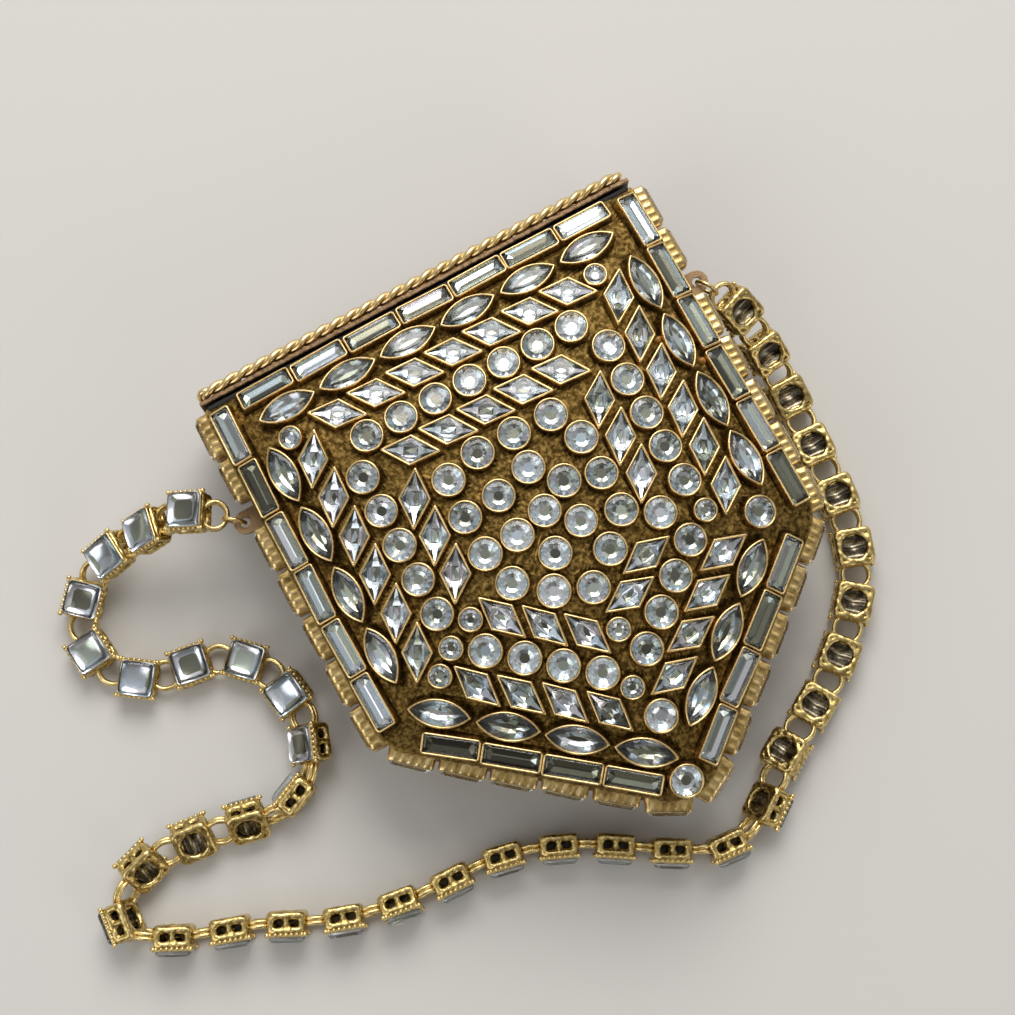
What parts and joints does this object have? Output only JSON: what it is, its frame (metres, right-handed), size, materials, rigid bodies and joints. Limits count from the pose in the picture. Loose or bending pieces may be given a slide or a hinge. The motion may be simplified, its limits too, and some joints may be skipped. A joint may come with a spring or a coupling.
{
  "type": "mini clutch bag",
  "caption": "Small hard evening bag of aged brass in a home-plate outline, set with clear stones, with a hinged top lid and a strap of square stone settings",
  "frame": {"origin": "middle of the flat back that the bag lies on, halfway from the top edge to the point", "axes": "+Z out of the stone-set front, +Y towards the lid, +X towards the right side seen from the front"},
  "size_m": [0.1993, 0.148, 0.0407],
  "materials": {
    "old_brass": "aged and granular between clear stones",
    "strap_brass": "cast and worn",
    "plain_brass": "dull brown",
    "black_cloth": "matt black"
  },
  "bodies": {
    "case": {"front_panel": "old_brass", "side_band": "old_brass", "back_panel": "old_brass", "mouth_frame": "black_cloth", "front_lining": "black_cloth", "back_lining": "black_cloth", "side_lining": "black_cloth", "hinge_leaf": "plain_brass", "hinge_pin": "plain_brass", "lug_left": "plain_brass", "lug_right": "plain_brass", "lug_ring_left": "strap_brass", "lug_ring_right": "strap_brass", "strap_end_ring": "strap_brass", "strap_link_01": "strap_brass", "strap_link_02": "strap_brass", "strap_link_03": "strap_brass", "strap_link_04": "strap_brass", "strap_link_05": "strap_brass", "strap_link_06": "strap_brass", "strap_link_07": "strap_brass", "strap_link_08": "strap_brass", "strap_link_09": "strap_brass", "strap_link_10": "strap_brass", "strap_link_11": "strap_brass", "strap_link_12": "strap_brass", "strap_link_13": "strap_brass", "strap_link_14": "strap_brass", "strap_link_15": "strap_brass", "strap_link_16": "strap_brass", "strap_link_17": "strap_brass", "strap_link_18": "strap_brass", "strap_link_19": "strap_brass", "strap_link_20": "strap_brass", "strap_link_21": "strap_brass", "strap_link_22": "strap_brass", "strap_link_23": "strap_brass", "strap_link_24": "strap_brass", "strap_link_25": "strap_brass", "strap_link_26": "strap_brass", "strap_link_27": "strap_brass", "strap_link_28": "strap_brass", "strap_link_29": "strap_brass", "strap_link_30": "strap_brass", "strap_link_31": "strap_brass", "strap_link_32": "strap_brass", "strap_link_33": "strap_brass", "strap_link_34": "strap_brass", "strap_link_35": "strap_brass", "strap_link_36": "strap_brass", "strap_link_37": "strap_brass"},
    "lid": {"lid_plate": "old_brass", "lid_rope_trim": "plain_brass", "lid_lining": "black_cloth"}
  },
  "joints": [
    {"name": "lid_hinge", "type": "hinge", "parent": "case", "child": "lid", "pos_m": [0, 0.0667, 0.0024], "axis": [-1, 0, 0], "range_deg": [0, 85]}
  ]
}
